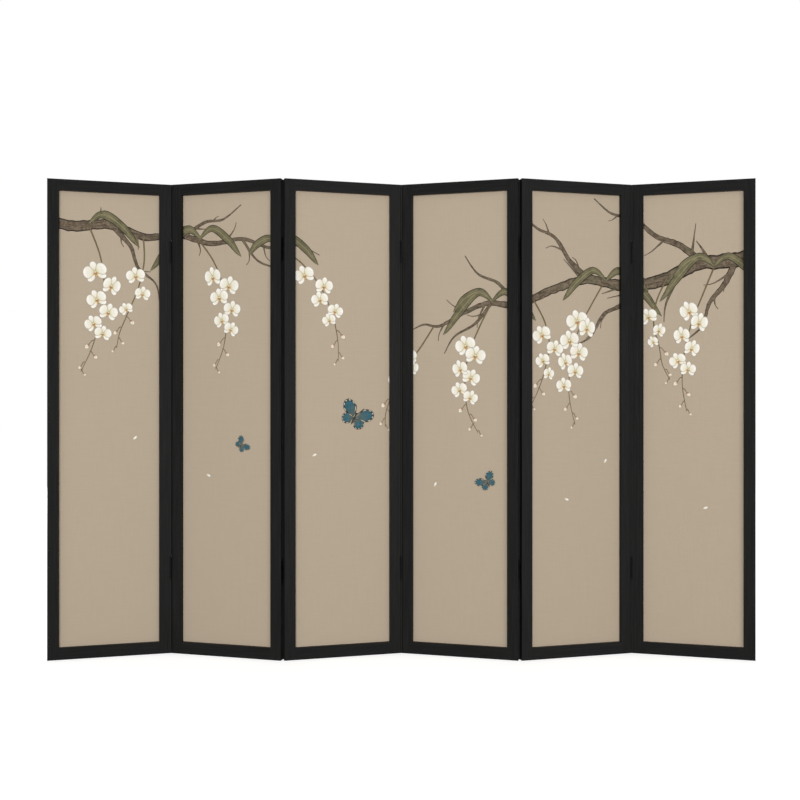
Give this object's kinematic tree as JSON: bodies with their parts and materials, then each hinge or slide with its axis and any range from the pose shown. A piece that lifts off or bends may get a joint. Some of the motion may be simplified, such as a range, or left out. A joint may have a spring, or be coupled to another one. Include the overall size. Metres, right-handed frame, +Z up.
{
  "type": "folding screen",
  "caption": "Zigzag folding room screen: black wooden frames with stretched cloth, hinged on the front and the back by turns.",
  "frame": {"origin": "on the floor, under the middle hinge line and halfway from the front corners to the back ones", "axes": "+X to the right seen from the front, +Y to the back, +Z up; stored in the zigzag in which it stands"},
  "size_m": [2.6516, 0.139, 1.8],
  "materials": {
    "black_wood": "black stain under a matt lacquer, faint grain",
    "cloth": "plain taupe woven cloth, matt, painted on its front",
    "black_hinge": "black painted steel, satin",
    "steel_pins": "black painted steel, satin",
    "black_screws": "blackened steel screws",
    "steel_brads": "plain steel brads"
  },
  "bodies": {
    "panel_1": {"panel_1_left_stile": "black_wood", "panel_1_right_stile": "black_wood", "panel_1_top_rail": "black_wood", "panel_1_bottom_rail": "black_wood", "panel_1_cloth": "cloth", "panel_1_cover_strips": "black_wood", "panel_1_strip_brads": "steel_brads", "panel_1_hinge_leaves": "black_hinge", "panel_1_hinge_screws": "black_screws", "panel_1_joint_bead": "black_wood", "hinge_pins_1_2": "steel_pins"},
    "panel_2": {"panel_2_left_stile": "black_wood", "panel_2_right_stile": "black_wood", "panel_2_top_rail": "black_wood", "panel_2_bottom_rail": "black_wood", "panel_2_cloth": "cloth", "panel_2_cover_strips": "black_wood", "panel_2_strip_brads": "steel_brads", "panel_2_hinge_leaves": "black_hinge", "panel_2_hinge_screws": "black_screws", "panel_2_joint_bead": "black_wood", "hinge_pins_2_3": "steel_pins"},
    "panel_3": {"panel_3_left_stile": "black_wood", "panel_3_right_stile": "black_wood", "panel_3_top_rail": "black_wood", "panel_3_bottom_rail": "black_wood", "panel_3_cloth": "cloth", "panel_3_cover_strips": "black_wood", "panel_3_strip_brads": "steel_brads", "panel_3_hinge_leaves": "black_hinge", "panel_3_hinge_screws": "black_screws", "panel_3_joint_bead": "black_wood", "hinge_pins_3_4": "steel_pins"},
    "panel_4": {"panel_4_left_stile": "black_wood", "panel_4_right_stile": "black_wood", "panel_4_top_rail": "black_wood", "panel_4_bottom_rail": "black_wood", "panel_4_cloth": "cloth", "panel_4_cover_strips": "black_wood", "panel_4_strip_brads": "steel_brads", "panel_4_hinge_leaves": "black_hinge", "panel_4_hinge_screws": "black_screws", "panel_4_joint_bead": "black_wood", "hinge_pins_4_5": "steel_pins"},
    "panel_5": {"panel_5_left_stile": "black_wood", "panel_5_right_stile": "black_wood", "panel_5_top_rail": "black_wood", "panel_5_bottom_rail": "black_wood", "panel_5_cloth": "cloth", "panel_5_cover_strips": "black_wood", "panel_5_strip_brads": "steel_brads", "panel_5_hinge_leaves": "black_hinge", "panel_5_hinge_screws": "black_screws", "panel_5_joint_bead": "black_wood", "hinge_pins_5_6": "steel_pins"},
    "panel_6": {"panel_6_left_stile": "black_wood", "panel_6_right_stile": "black_wood", "panel_6_top_rail": "black_wood", "panel_6_bottom_rail": "black_wood", "panel_6_cloth": "cloth", "panel_6_cover_strips": "black_wood", "panel_6_strip_brads": "steel_brads", "panel_6_hinge_leaves": "black_hinge", "panel_6_hinge_screws": "black_screws"}
  },
  "joints": [
    {"name": "hinge_3_4", "type": "hinge", "parent": "panel_3", "child": "panel_4", "pos_m": [0, 0.04768, 0.934], "axis": [0, 0, -1], "range_deg": [-31, 149]},
    {"name": "hinge_2_3", "type": "hinge", "parent": "panel_3", "child": "panel_2", "pos_m": [-0.44262, -0.04768, 0.934], "axis": [0, 0, -1], "range_deg": [-31, 149]},
    {"name": "hinge_4_5", "type": "hinge", "parent": "panel_4", "child": "panel_5", "pos_m": [0.44262, -0.04768, 0.934], "axis": [0, 0, 1], "range_deg": [-31, 149]},
    {"name": "hinge_1_2", "type": "hinge", "parent": "panel_2", "child": "panel_1", "pos_m": [-0.88523, 0.04768, 0.934], "axis": [0, 0, 1], "range_deg": [-31, 149]},
    {"name": "hinge_5_6", "type": "hinge", "parent": "panel_5", "child": "panel_6", "pos_m": [0.88523, 0.04768, 0.934], "axis": [0, 0, -1], "range_deg": [-31, 149]}
  ]
}
